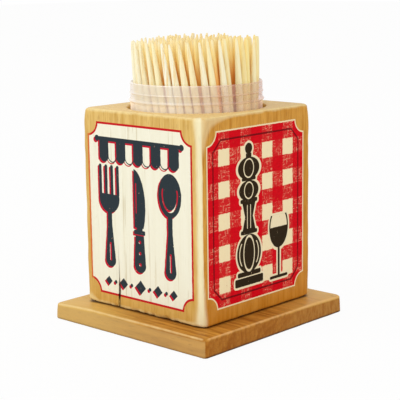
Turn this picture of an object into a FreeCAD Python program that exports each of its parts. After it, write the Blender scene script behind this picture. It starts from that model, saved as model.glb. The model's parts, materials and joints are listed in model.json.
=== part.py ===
"""Wooden toothpick holder: a bored block on a plate, a clear jar in the bore, and the picks.

Millimetres, +Z up. The origin is the centre of the plate's underside, so the holder stands on
the XY plane, with its sides square to X and Y.
"""
import FreeCAD, Part

import cmath
import math
import os
import random

import Sketcher
from FreeCAD import Placement, Rotation, Vector

SIZES = {
    # base plate
    "plate_thickness": 5.5,
    "plate_margin": 6.85,  # how far the plate stands out round the block
    "plate_corner": 1.4,  # radius of its upright edges
    "plate_arris": 0.8,  # radius of its long edges
    # block
    "block_wall": 3.45,  # wood left at the thinnest place beside the bore
    "bore_floor_spare": 2.7,  # wood left between the pilot holes and the bore
    "block_corner": 1.8,
    "block_arris": 0.9,
    "bore_depth": 47.0,
    "bore_lip": 0.4,  # bevel round the mouth of the bore
    # screws from below
    "screw_spacing": 24.0,
    "screw_length": 12.0,
    "screw_diameter": 3.0,
    "screw_head_diameter": 5.8,
    "screw_head_rim": 0.4,  # height of the straight edge of the head
    "screw_recess": 0.3,  # how deep the head lies below the underside
    "screw_hole_clearance": 0.3,
    "screw_thread_clearance": 0.02,
    "screw_pilot_spare": 1.5,  # length of the pilot hole beyond the point
    # jar
    "jar_diameter": 38.6,
    "jar_wall": 0.6,
    "jar_floor": 1.2,
    "jar_stand_out": 7.4,  # height of the rim above the block
    "jar_play": 0.5,  # room round the bead in the bore
    "jar_push_up": 0.8,  # height of the hollow under the floor
    "jar_foot_width": 1.8,  # width of the ring that the jar stands on
    "jar_bevel": 0.5,  # bevel of the foot and of the inner corner
    "bead_stand_out": 0.5,  # how far the bead stands out of the jar's wall
    "bead_drop": 5.2,  # from the rim down to the middle of the bead
    "bead_height": 1.0,
    "bead_flare": 1.0,  # height of the slope above the bead
    "bead_undercut": 0.4,  # height of the slope below the bead
    "ridge_stand_out": 0.25,
    "ridge_drop": 2.5,  # from the rim down to the snap ridge for a lid
    "ridge_height": 0.6,
    "rim_bevel": 0.25,
    # toothpicks
    "pick_length": 65.5,
    "pick_unevenness": 1.2,  # how much longer the longest is than the shortest
    "pick_diameter": 2.1,
    "pick_taper": 12.0,  # length of each point
    "pick_gap": 0.12,  # least room between two picks
    "pick_play": 0.1,  # least room between a pick and the jar's wall
    "pick_seat": 0.15,  # from the lower points to the jar's floor
    "core_width": 6.6,  # free space left in the middle of the bundle
}
PICK_SIDES = 6
FIRST_RING = 2  # rings 0 and 1 would fill the core
UPRIGHT_BEARING = math.radians(-15)  # picks stand nearly upright from here, counting from +X
UPRIGHT_SPAN = math.pi  # and lean fully again this much further round
UPRIGHT_SHARE = 0.85  # how much of their lean the most upright ones lack
SHAKE = 0.6  # unevenness of the picks' places before they settle, as a share of their radius
SETTLING_ROUNDS = 120
SEED = 7
TINY = 1e-6

doc = FreeCAD.newDocument("toothpick_holder")
sheet = doc.addObject("Spreadsheet::Sheet", "Sizes")
for row, (name, value) in enumerate(SIZES.items(), 1):
    sheet.set(f"A{row}", name)
    sheet.set(f"B{row}", str(value))
    sheet.setAlias(f"B{row}", name)
doc.recompute()

# sizes that follow from the sheet, as expressions
JAR_RADIUS = "(Sizes.jar_diameter / 2)"
BEAD_RADIUS = f"({JAR_RADIUS} + Sizes.bead_stand_out)"
BORE_RADIUS = f"({BEAD_RADIUS} + Sizes.jar_play)"
PILOT_DEPTH = (
    "(Sizes.screw_length + Sizes.screw_recess + Sizes.screw_pilot_spare"
    " - Sizes.plate_thickness)"
)
BLOCK_WIDTH = f"(2 * {BORE_RADIUS} + 2 * Sizes.block_wall)"
BLOCK_FLOOR = f"({PILOT_DEPTH} + Sizes.bore_floor_spare)"
BLOCK_HEIGHT = f"(Sizes.bore_depth + {BLOCK_FLOOR})"
PLATE_WIDTH = f"({BLOCK_WIDTH} + 2 * Sizes.plate_margin)"
JAR_HEIGHT = "(Sizes.bore_depth + Sizes.jar_stand_out)"
JAR_SEAT = f"(Sizes.plate_thickness + {BLOCK_FLOOR})"
HEAD_CONE = "((Sizes.screw_head_diameter - Sizes.screw_diameter) / 2)"
PARTS = []


def value_of(expression):
    """The number that an expression on the sheet gives."""
    return float(sheet.evalExpression(expression))


def new_body(label):
    body = doc.addObject("PartDesign::Body", label)
    body.Label = label
    PARTS.append(body)
    return body


def origin_plane(body, role):
    return next(f for f in body.Origin.OriginFeatures if f.Role == role)


def new_sketch(body, name, role="XY_Plane"):
    sketch = body.newObject("Sketcher::SketchObject", name)
    sketch.AttachmentSupport = [(origin_plane(body, role), "")]
    sketch.MapMode = "FlatFace"
    return sketch


def bind(sketch, kind, *args):
    """Adds a dimension to a sketch and ties it to an expression, the last argument."""
    *where, expression = args
    sketch.addConstraint(Sketcher.Constraint(kind, *where, value_of(expression)))
    sketch.setExpression(f"Constraints[{sketch.ConstraintCount - 1}]", expression)


def outline(sketch, corners):
    """A closed outline of straight lines through corners, each an (x, y) of expressions."""
    points = [Vector(value_of(x), value_of(y), 0) for x, y in corners]
    for start, end in zip(points, points[1:] + points[:1]):
        sketch.addGeometry(Part.LineSegment(start, end))
    for line in range(len(points)):
        following = (line + 1) % len(points)
        sketch.addConstraint(Sketcher.Constraint("Coincident", line, 2, following, 1))
    for line, (x, y) in enumerate(corners):
        bind(sketch, "DistanceX", -1, 1, line, 1, x)
        bind(sketch, "DistanceY", -1, 1, line, 1, y)


def square(sketch, width):
    low, high = f"-{width} / 2", f"{width} / 2"
    outline(sketch, [(low, low), (high, low), (high, high), (low, high)])


def circle(sketch, radius, x="0"):
    """A circle centred on the sketch's X axis at x."""
    index = sketch.addGeometry(
        Part.Circle(Vector(value_of(x), 0, 0), Vector(0, 0, 1), value_of(radius))
    )
    bind(sketch, "Radius", index, radius)
    bind(sketch, "DistanceX", -1, 1, index, 3, x)
    sketch.addConstraint(Sketcher.Constraint("PointOnObject", index, 3, -1))


def feature(body, kind, name, profile, **settings):
    """A feature made from a profile; a setting given as text is an expression."""
    made = body.newObject(f"PartDesign::{kind}", name)
    made.Profile = profile
    for setting, value in settings.items():
        if isinstance(value, str) and value.count("Sizes."):
            made.setExpression(setting, value)
        else:
            setattr(made, setting, value)
    doc.recompute()
    return made


def dress(body, kind, name, base, chosen, size_name, size):
    """A fillet or chamfer on those edges of base that the test chosen takes."""
    edges = [f"Edge{n}" for n, edge in enumerate(base.Shape.Edges, 1) if chosen(edge)]
    made = body.newObject(f"PartDesign::{kind}", name)
    made.Base = (base, edges)
    made.setExpression(size_name, size)
    doc.recompute()
    return made


def upright(edge):
    return edge.BoundBox.ZLength > TINY and len(edge.Vertexes) == 2


def level(edge):
    return edge.BoundBox.ZLength < TINY


def ease(body, base, corner, arris):
    """Rounds a block's upright edges, then the loops of edges round its two ends."""
    corners = dress(body, "Fillet", "Corners", base, upright, "Radius", corner)
    return dress(body, "Fillet", "Arrises", corners, level, "Radius", arris)


def make_plate():
    """Sawn plate with eased edges and two countersunk holes for the screws."""
    body = new_body("base_plate")
    sketch = new_sketch(body, "PlateOutline")
    square(sketch, PLATE_WIDTH)
    pad = feature(body, "Pad", "Plate", sketch, Length="Sizes.plate_thickness")
    ease(body, pad, "Sizes.plate_corner", "Sizes.plate_arris")
    holes = new_sketch(body, "HoleCentres")
    radius = "(Sizes.screw_diameter / 2 + Sizes.screw_hole_clearance)"
    for side in ("", "-"):
        circle(holes, radius, f"{side}Sizes.screw_spacing / 2")
    drilled = feature(body, "Pocket", "ScrewHoles", holes, Reversed=True, Type="ThroughAll")

    def at_hole_mouth(edge):
        return level(edge) and edge.BoundBox.ZMin < TINY and edge.isClosed()

    depth = f"({HEAD_CONE} + Sizes.screw_head_rim + Sizes.screw_recess)"
    dress(body, "Chamfer", "Countersinks", drilled, at_hole_mouth, "Size", depth)


def make_block():
    """Square block with eased edges, bored from above, with pilot holes from below."""
    body = new_body("block")
    body.setExpression(".Placement.Base.z", "Sizes.plate_thickness")
    sketch = new_sketch(body, "BlockOutline")
    square(sketch, BLOCK_WIDTH)
    pad = feature(body, "Pad", "Block", sketch, Length=BLOCK_HEIGHT)
    ease(body, pad, "Sizes.block_corner", "Sizes.block_arris")
    mouth = new_sketch(body, "BoreMouth")
    mouth.setExpression(".AttachmentOffset.Base.z", BLOCK_HEIGHT)
    circle(mouth, BORE_RADIUS)
    bore = feature(body, "Pocket", "Bore", mouth, Length="Sizes.bore_depth")

    def at_bore_mouth(edge):
        top = value_of(BLOCK_HEIGHT)
        return level(edge) and edge.isClosed() and abs(edge.BoundBox.ZMin - top) < TINY

    dress(body, "Chamfer", "BoreLip", bore, at_bore_mouth, "Size", "Sizes.bore_lip")
    pilots = new_sketch(body, "PilotCentres")
    for side in ("", "-"):
        circle(
            pilots,
            "(Sizes.screw_diameter / 2 + Sizes.screw_thread_clearance)",
            f"{side}Sizes.screw_spacing / 2",
        )
    feature(body, "Pocket", "PilotHoles", pilots, Reversed=True, Length=PILOT_DEPTH)


def make_screws():
    """Two countersunk wood screws, head down, turned from one profile."""
    body = new_body("base_screws")
    sketch = new_sketch(body, "ScrewProfile", "XZ_Plane")
    sketch.setExpression(".AttachmentOffset.Base.x", "Sizes.screw_spacing / 2")
    shank = "Sizes.screw_diameter / 2"
    head = "Sizes.screw_head_diameter / 2"
    bottom = "Sizes.screw_recess"
    rim = f"{bottom} + Sizes.screw_head_rim"
    neck = f"{rim} + {HEAD_CONE}"
    top = f"{bottom} + Sizes.screw_length"
    outline(
        sketch,
        [
            ("0", bottom),
            (head, bottom),
            (head, rim),
            (shank, neck),
            (shank, f"{top} - Sizes.screw_diameter"),
            ("0", top),
        ],
    )
    turned = feature(
        body, "Revolution", "Screw", sketch, ReferenceAxis=(sketch, ["V_Axis"]), Angle=360
    )
    pair = body.newObject("PartDesign::Mirrored", "Pair")
    pair.Originals = [turned]
    pair.MirrorPlane = (origin_plane(body, "YZ_Plane"), [""])
    body.Tip = pair
    doc.recompute()


def make_jar():
    """Moulded jar: a thin wall with a bead and a snap ridge below its rim."""
    body = new_body("jar")
    body.setExpression(".Placement.Base.z", JAR_SEAT)
    sketch = new_sketch(body, "JarProfile", "XZ_Plane")
    foot = f"{JAR_RADIUS} - Sizes.jar_foot_width"
    inside = f"{JAR_RADIUS} - Sizes.jar_wall"
    floor = "Sizes.jar_push_up + Sizes.jar_floor"
    bead_middle = f"{JAR_HEIGHT} - Sizes.bead_drop"
    bead_low = f"{bead_middle} - Sizes.bead_height / 2"
    bead_high = f"{bead_middle} + Sizes.bead_height / 2"
    ridge = f"{JAR_HEIGHT} - Sizes.ridge_drop"
    outline(
        sketch,
        [
            ("0", "Sizes.jar_push_up"),
            (foot, "Sizes.jar_push_up"),
            (foot, "0"),
            (f"{JAR_RADIUS} - Sizes.jar_bevel", "0"),
            (JAR_RADIUS, "Sizes.jar_bevel"),
            (JAR_RADIUS, f"{bead_low} - Sizes.bead_undercut"),
            (BEAD_RADIUS, bead_low),
            (BEAD_RADIUS, bead_high),
            (JAR_RADIUS, f"{bead_high} + Sizes.bead_flare"),
            (JAR_RADIUS, f"{ridge} - Sizes.ridge_height / 2"),
            (f"{JAR_RADIUS} + Sizes.ridge_stand_out", ridge),
            (JAR_RADIUS, f"{ridge} + Sizes.ridge_height / 2"),
            (JAR_RADIUS, f"{JAR_HEIGHT} - Sizes.rim_bevel"),
            (f"{JAR_RADIUS} - Sizes.rim_bevel", JAR_HEIGHT),
            (f"{inside} + Sizes.rim_bevel", JAR_HEIGHT),
            (inside, f"{JAR_HEIGHT} - Sizes.rim_bevel"),
            (inside, f"{floor} + Sizes.jar_bevel"),
            (f"{inside} - Sizes.jar_bevel", floor),
            ("0", floor),
        ],
    )
    feature(body, "Revolution", "Jar", sketch, ReferenceAxis=(sketch, ["V_Axis"]), Angle=360)


class Pick:
    """Where a toothpick stands: the places of its axis at its foot's and at the rim's height.

    Places are complex numbers, x + yj. Height is counted as a share of the rim's height above
    the feet.
    """

    def __init__(self, foot, rim):
        self.foot = foot
        self.rim = rim

    def at(self, height):
        return self.foot + (self.rim - self.foot) * height

    def move(self, shift, height):
        """Moves the axis by shift at a height, and less the further the end is from it."""
        self.foot += shift * (1 - min(height, 1))
        self.rim += shift * min(height, 1)


def nearest_height(offset, spread, top):
    """The height, up to top, at which offset + height * spread is shortest."""
    if abs(spread) < TINY:
        return 0
    return min(max(-(offset.conjugate() * spread).real / abs(spread) ** 2, 0), top)


def keep_apart(first, second, least, top):
    """Pushes two picks apart where they are nearest, if that is less than least."""
    offset = second.foot - first.foot
    spread = second.rim - first.rim - offset
    height = nearest_height(offset, spread, top)
    between = offset + spread * height
    short = least - abs(between)
    if short > 0:
        push = between / abs(between) * short / 2
        first.move(-push, height)
        second.move(push, height)


def keep_in_jar(pick, limit, core, top):
    """Holds a pick's axis between the free core and the circle that is as near as it may
    come to the jar's wall."""
    pick.foot *= min(1, limit / abs(pick.foot))
    pick.rim *= min(1, limit / abs(pick.rim))
    height = nearest_height(pick.foot, pick.rim - pick.foot, top)
    place = pick.at(height)
    if abs(place) < core:
        pick.move(place / abs(place) * (core - abs(place)), height)


def lean_share(bearing):
    """How much of the full lean the picks have at a bearing."""
    beyond = (bearing - UPRIGHT_BEARING) % math.tau
    return 1 - UPRIGHT_SHARE * max(0, 1 - beyond / UPRIGHT_SPAN)


def settled_rings():
    """The bundle as rings of picks, close together at their feet and spread out at the rim.

    Ring n starts as 6 n picks, evenly spaced, as equal rods pack round one another. They lean
    outwards and clockwise. A seeded shake makes them uneven, and pushing overlapping pairs apart
    settles them.
    """
    dice = random.Random(SEED)
    size = {name: value_of(f"Sizes.{name}") for name in SIZES}
    radius = size["pick_diameter"] / 2
    pitch = size["pick_diameter"] + size["pick_gap"]
    limit = size["jar_diameter"] / 2 - size["jar_wall"] - radius - size["pick_play"]
    core = size["core_width"] / 2 + radius
    rim_height = value_of(JAR_HEIGHT) - size["jar_push_up"] - size["jar_floor"]
    top = (size["pick_length"] + size["pick_unevenness"]) / rim_height
    last_ring = int(limit / pitch)
    closeness = last_ring * pitch / limit
    full_twist = math.acos(closeness)
    steepest = math.hypot(1, limit * math.sin(full_twist) / rim_height)
    shake = SHAKE * radius
    rings = []
    for ring in range(FIRST_RING, last_ring + 1):
        start = dice.uniform(0, math.tau)
        picks = []
        for place in range(6 * ring):
            bearing = start + math.tau * place / (6 * ring)
            twist = full_twist * lean_share(bearing)
            rim = ring / last_ring * cmath.rect(limit, bearing)
            uneven = complex(dice.uniform(-shake, shake), dice.uniform(-shake, shake))
            picks.append(Pick(closeness * rim * cmath.rect(1, twist), rim + uneven))
        rings.append(picks)
    everyone = [pick for picks in rings for pick in picks]
    for _ in range(SETTLING_ROUNDS):
        for index, pick in enumerate(everyone):
            for other in everyone[:index]:
                keep_apart(pick, other, pitch * steepest, top)
        for pick in everyone:
            keep_in_jar(pick, limit, core, top)
    return rings, rim_height, dice


def faceted_pick(length):
    """A double-pointed toothpick with flat sides, along +Z from its lower point."""
    taper = value_of("Sizes.pick_taper")
    radius = value_of("Sizes.pick_diameter / 2")
    sides = [math.tau * side / PICK_SIDES for side in range(PICK_SIDES + 1)]
    low, high = (
        [Vector(radius * math.cos(a), radius * math.sin(a), height) for a in sides]
        for height in (taper, length - taper)
    )
    foot, tip = Vector(0, 0, 0), Vector(0, 0, length)
    faces = []
    for side in range(PICK_SIDES):
        a, b, c, d = low[side], low[side + 1], high[side + 1], high[side]
        for corners in ((foot, b, a, foot), (a, b, c, d, a), (d, c, tip, d)):
            faces.append(Part.Face(Part.makePolygon(corners)))
    solid = Part.Solid(Part.Shell(faces))
    if solid.Volume < 0:
        solid.reverse()
    return solid


def pick_placement(pick, rim_height):
    """Puts a pick made along +Z on its axis, with its lower point just off the jar's floor."""
    across = pick.rim - pick.foot
    axis = Vector(across.real, across.imag, rim_height).normalize()
    seat = value_of(f"{JAR_SEAT} + Sizes.jar_push_up + Sizes.jar_floor + Sizes.pick_seat")
    return Placement(Vector(pick.foot.real, pick.foot.imag, seat), Rotation(Vector(0, 0, 1), axis))


def add_shape(label, shape, placement=Placement()):
    made = doc.addObject("Part::Feature", label)
    made.Label = label
    made.Shape = shape
    made.Placement = placement
    PARTS.append(made)


def make_toothpicks():
    """The outer ring as single toothpicks, and each ring inside it as a group."""
    length = value_of("Sizes.pick_length")
    spare = value_of("Sizes.pick_unevenness / 2")
    rings, rim_height, dice = settled_rings()
    made = [
        [
            (faceted_pick(length + dice.uniform(-spare, spare)), pick_placement(pick, rim_height))
            for pick in picks
        ]
        for picks in rings
    ]
    for number, (shape, placement) in enumerate(made[-1], 1):
        add_shape(f"toothpick_{number:02d}", shape, placement)
    for number, ring in enumerate(made[:-1], 1):
        standing = [shape.transformed(placement.Matrix) for shape, placement in ring]
        add_shape(f"toothpicks_inner_ring_{number}", Part.makeCompound(standing))


def write_parts():
    """Writes each part to its own STEP file, once every object has built."""
    doc.recompute()
    for item in doc.Objects:
        if {"Invalid", "Error"} & set(item.State):
            raise RuntimeError(f"{item.Label} didn't build: {item.State}")
    for item in PARTS:
        if item.Shape.isNull() or not item.Shape.isValid():
            raise RuntimeError(f"{item.Label} has no valid shape")
    os.makedirs("parts", exist_ok=True)
    for item in PARTS:
        item.Shape.exportStep(f"parts/{item.Label}.step")
        print(item.Label, len(item.Shape.Solids), round(item.Shape.Volume, 1))


make_plate()
make_block()
make_screws()
make_jar()
make_toothpicks()
write_parts()
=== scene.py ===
import json
import math

import bmesh
import bpy
import numpy as np
from mathutils import Matrix, Vector, noise


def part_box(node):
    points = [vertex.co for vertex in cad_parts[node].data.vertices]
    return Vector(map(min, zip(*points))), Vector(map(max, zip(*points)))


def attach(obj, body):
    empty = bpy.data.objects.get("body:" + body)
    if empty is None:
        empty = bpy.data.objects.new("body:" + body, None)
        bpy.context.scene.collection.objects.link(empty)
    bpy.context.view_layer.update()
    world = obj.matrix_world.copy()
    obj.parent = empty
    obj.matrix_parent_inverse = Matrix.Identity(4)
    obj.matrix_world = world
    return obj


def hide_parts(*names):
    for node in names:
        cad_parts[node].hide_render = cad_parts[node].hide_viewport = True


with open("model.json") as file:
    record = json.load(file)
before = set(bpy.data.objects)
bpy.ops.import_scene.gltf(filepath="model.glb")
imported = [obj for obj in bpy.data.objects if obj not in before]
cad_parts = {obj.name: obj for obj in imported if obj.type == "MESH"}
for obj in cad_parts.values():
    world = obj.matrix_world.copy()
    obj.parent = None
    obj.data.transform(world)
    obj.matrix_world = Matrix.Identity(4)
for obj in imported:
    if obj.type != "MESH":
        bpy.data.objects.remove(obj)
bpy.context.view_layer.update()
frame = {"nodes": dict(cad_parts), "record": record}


# Base plate.
# A square plate sawn from light hardwood, its grain from left to right, stained and satin
# varnished. It is planed a little thinner towards its left side and its back, its arrises are
# rubbed pale and partly carry a painted highlight, and two holes are countersunk from below for
# the screws that hold the block.

MM = 0.001  # metres in a millimetre

PLATE_CORNER = 1.1
PLATE_ARRIS = 0.5
THIN_LEFT = 0.8  # planed off at the left edge
THIN_BACK = 0.35  # planed off at the back edge
THIN_FROM = 14.0  # from the middle of the plate
SCREW_APART = 24.0
SCREW_HOLE = 1.8  # radius
SCREW_SINK = 2.9  # radius
SCREW_SINK_DEPTH = 2.1
OUTLINE_POINTS = 384


def around_square(count):
    """Places round a square of half width 1, counterclockwise, closer towards its corners."""
    steps = np.linspace(-1, 1, count // 4, endpoint=False)
    steps = np.sign(steps) * (1 - (1 - abs(steps)) ** 1.3)
    edge = np.ones_like(steps)
    sides = [(steps, -edge), (edge, steps), (-steps, edge), (-edge, -steps)]
    return np.concatenate([np.stack(side, axis=1) for side in sides])


def waviness(points, waves, seed):
    """Smooth noise, about -1 to 1, at each point, with this many waves in a millimetre."""
    shift = Vector((seed * 7.3, seed * 3.1, seed * 5.7))
    return np.array([noise.noise(Vector(point) * waves + shift) for point in points])


def rounded(outline, half, radius):
    """A square outline at this half width with its corners rounded."""
    flat = outline * half[:, None]
    reach = np.stack([half - radius, half - radius], axis=1)
    inner = np.clip(flat, -reach, reach)
    outwards = flat - inner
    length = np.linalg.norm(outwards, axis=1)
    return inner + outwards * (radius / length)[:, None]


def board_rings(low, high, corner, arris, wear, chips, seed, end_middle):
    """Rings of points over a square board, from the middle of its underside up to its top.

    Wear makes the corners and arrises uneven, chips bites into the lower arris, least at right.
    End_middle says whether the rings on top close in to the middle of the board.
    """
    outline = around_square(OUTLINE_POINTS)
    half = (high[0] - low[0]) / 2
    middle = (high[0] + low[0]) / 2
    count = len(outline)
    rim = np.column_stack([outline * half, np.zeros(count)])
    lower = arris * (1 + wear * waviness(rim, 0.31, seed))
    bites = np.clip(waviness(rim, 0.42, seed + 1) - 0.12, 0, 1)
    bites += 0.6 * np.clip(waviness(rim, 1.3, seed + 2) - 0.2, 0, 1)
    bites *= np.clip((1 - outline[:, 0]) * 12, 0.15, 1)
    lower = np.clip(lower + chips * bites, 0.25, 1.9)
    upper = np.clip(arris * (1 + wear * waviness(rim, 0.27, seed + 3)), 0.3, 1.9)

    def ring(inset, height):
        """One ring, with the corner's radius at that height."""
        place = np.column_stack([outline * half, height])
        soft = corner * (1 + wear * waviness(place, 0.22, seed + 4))
        near_end = np.clip(1 - (high[2] - height) / 6, 0, 1)
        soft = np.clip(soft * (1 + 0.7 * near_end**2), 0.4, 4.0)
        flat = rounded(outline, half - inset, np.maximum(soft - inset * 0.4, 0.3))
        return np.column_stack([flat + middle, height])

    inwards = (0.02, 0.2, 0.4, 0.6, 0.8, 0.93)
    quarter = np.radians([0, 22, 45, 68])
    underside = ring(lower, np.full(count, low[2]))
    rings = [underside * [share, share, 1] for share in inwards]
    for angle in quarter:
        rings.append(ring(lower * (1 - np.sin(angle)), low[2] + lower * (1 - np.cos(angle))))
    levels = np.linspace(-1, 1, int((high[2] - low[2]) * 1.5) + 2)
    levels = (np.sign(levels) * (1 - (1 - abs(levels)) ** 1.25) + 1) / 2
    start = low[2] + lower
    for level in levels:
        rings.append(ring(0 * lower, start + (high[2] - upper - start) * level))
    for angle in quarter[::-1]:
        rings.append(ring(upper * (1 - np.sin(angle)), high[2] - upper * (1 - np.cos(angle))))
    if end_middle:
        topside = rings[-1]
        rings += [topside * [share, share, 1] for share in reversed(inwards)]
    return rings


def added(name, data):
    """An object in the scene that holds this mesh, lamp or camera."""
    thing = bpy.data.objects.new(name, data)
    bpy.context.scene.collection.objects.link(thing)
    return thing


def skin(name, rings):
    """A closed mesh, in metres, over stacked rings of millimetre points."""
    count = len(rings[0])
    points = [rings[0].mean(axis=0), *np.concatenate(rings), rings[-1].mean(axis=0)]
    faces = []
    for level in range(len(rings) - 1):
        start = 1 + level * count
        for i in range(count):
            j = (i + 1) % count
            faces.append((start + i, start + j, start + count + j, start + count + i))
    last = 1 + (len(rings) - 1) * count
    for i in range(count):
        j = (i + 1) % count
        faces.append((0, 1 + j, 1 + i))
        faces.append((last + count, last + i, last + j))
    mesh = bpy.data.meshes.new(name)
    mesh.from_pydata([tuple(point * MM) for point in points], [], faces)
    mesh.shade_smooth()
    return added(name, mesh)


def turned(name, profile, sides, middle=(0, 0)):
    """A closed turned shape from (radius, height) steps, first to last upwards and outside."""
    angles = np.linspace(0, 2 * np.pi, sides, endpoint=False)
    round_once = np.column_stack([np.cos(angles), np.sin(angles)])
    rings = [
        np.column_stack([round_once * radius + middle, np.full(sides, height)])
        for radius, height in profile
    ]
    return skin(name, rings)


def settle(piece):
    """Gives a piece the mesh that its modifiers make, and takes them off."""
    before = piece.data
    evaluated = piece.evaluated_get(bpy.context.evaluated_depsgraph_get())
    piece.data = bpy.data.meshes.new_from_object(evaluated)
    piece.modifiers.clear()
    bpy.data.meshes.remove(before)
    piece.data.name = piece.name


def cut(piece, cutter):
    """Takes the cutter's shape out of the piece and throws the cutter away."""
    hole = piece.modifiers.new("hole", "BOOLEAN")
    hole.object = cutter
    hole.solver = "EXACT"
    settle(piece)
    bpy.data.meshes.remove(cutter.data)


def sharpen(piece, degrees):
    """Breaks the shading where faces meet at more than this angle."""
    shape = bmesh.new()
    shape.from_mesh(piece.data)
    for edge in shape.edges:
        edge.smooth = len(edge.link_faces) == 2 and edge.calc_face_angle() < math.radians(degrees)
    shape.to_mesh(piece.data)
    shape.free()


def colour(red, green, blue):
    """A screen colour, 0 to 255, as the shader's linear one."""
    shares = [part / 255 for part in (red, green, blue)]
    return [s / 12.92 if s <= 0.04045 else ((s + 0.055) / 1.055) ** 2.4 for s in shares] + [1.0]


def sums(operation):
    """An operator on values that adds this Math node, and its reflected form."""
    return (
        lambda self, other: self.maker.math(operation, self, other),
        lambda self, other: self.maker.math(operation, other, self),
    )


class Value:
    """A socket of a node tree."""

    __add__, __radd__ = sums("ADD")
    __sub__, __rsub__ = sums("SUBTRACT")
    __mul__, __rmul__ = sums("MULTIPLY")
    __truediv__, __rtruediv__ = sums("DIVIDE")

    def __init__(self, maker, socket):
        self.maker = maker
        self.socket = socket

    def __neg__(self):
        return self * -1.0

    def __abs__(self):
        return self.maker.math("ABSOLUTE", self)


class Nodes:
    """A node tree built up node by node."""

    def node(self, kind, settings=None, inputs=None, output=0, **named):
        """Adds a node with its settings and sockets, named with _ for a space, for one output."""
        new = self.tree.nodes.new(kind if kind.startswith("Geometry") else "ShaderNode" + kind)
        for name, setting in (settings or {}).items():
            setattr(new, name, setting)
        named = {name.replace("_", " "): value for name, value in named.items()}
        for name, value in {**(inputs or {}), **named}.items():
            if isinstance(value, Value):
                self.tree.links.new(value.socket, new.inputs[name])
            else:
                new.inputs[name].default_value = value
        return Value(self, new.outputs[output]) if new.outputs else None

    def math(self, operation, *terms):
        return self.node("Math", {"operation": operation}, dict(enumerate(terms)))

    def least(self, first, *others):
        for other in others:
            first = self.math("MINIMUM", first, other)
        return first

    def most(self, first, *others):
        for other in others:
            first = self.math("MAXIMUM", first, other)
        return first


class Finish(Nodes):
    """A material over the piece's own coordinates, or the sky."""

    def __init__(self, name, kind=bpy.data.materials):
        self.material = kind.new(name)
        self.material.use_nodes = True
        self.tree = self.material.node_tree
        self.tree.nodes.clear()

    def vector(self, operation, *terms, output=0):
        return self.node("VectorMath", {"operation": operation}, dict(enumerate(terms)), output)

    def split(self, vector):
        """The x, y and z of a vector."""
        separate = self.node("SeparateXYZ", inputs={0: vector}).socket.node
        return [Value(self, output) for output in separate.outputs]

    def joined(self, *parts):
        """The vector with these parts as its x, y and z."""
        return self.node("CombineXYZ", inputs=dict(enumerate(parts)))

    def length(self, *parts):
        """How long a vector is, given whole or in its parts."""
        vector = parts[0] if len(parts) == 1 else self.joined(*parts)
        return self.vector("LENGTH", vector, output="Value")

    def step(self, value, start, end):
        """Rises smoothly from 0 to 1 while the value goes from start to end."""
        smooth = {"interpolation_type": "SMOOTHSTEP"}
        return self.node("MapRange", smooth, Value=value, From_Min=start, From_Max=end)

    def fall(self, value, start, end):
        """Falls smoothly from 1 to 0 while the value goes from start to end."""
        return 1 - self.step(value, start, end)

    def mix(self, share, under, over):
        """One colour over another, by a share of 0 to 1. Screen colours go from 0 to 255."""
        under, over = (colour(*c) if isinstance(c, tuple) else c for c in (under, over))
        return self.node("Mix", {"data_type": "RGBA"}, {0: share, 6: under, 7: over}, 2)

    def coats(self, under, *layers):
        """A colour with others laid over it in turn, each given as its share and itself."""
        for share, over in layers:
            under = self.mix(share, under, over)
        return under

    def place(self):
        return self.node("TexCoord", output="Object")

    def millimetres(self):
        """The place on the piece as its x, y and z in millimetres."""
        return self.split(self.vector("MULTIPLY", self.place(), (1000, 1000, 1000)))

    def noise(self, waves, detail=2.0, roughness=0.5, shift=0.0):
        """Noise of 0 to 1 with these waves in a millimetre along x, y and z."""
        place = self.node(
            "Mapping",
            Vector=self.place(),
            Location=(shift, shift * 0.7, shift * 1.3),
            Scale=[1000 * number for number in waves],
        )
        return self.node("TexNoise", Vector=place, Scale=1.0, Detail=detail, Roughness=roughness)

    def surface(self, **sockets):
        """Ends in the Principled shader with these sockets."""
        self.node("OutputMaterial", Surface=self.node("BsdfPrincipled", **sockets))

    def cover(self, piece):
        """Gives the piece this finish and no other."""
        piece.data.materials.clear()
        piece.data.materials.append(self.material)

    def bump(self, height, distance):
        """A normal from a height of 0 to 1 over this many millimetres."""
        return self.node("Bump", Strength=1.0, Distance=distance * MM, Height=height)


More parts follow.
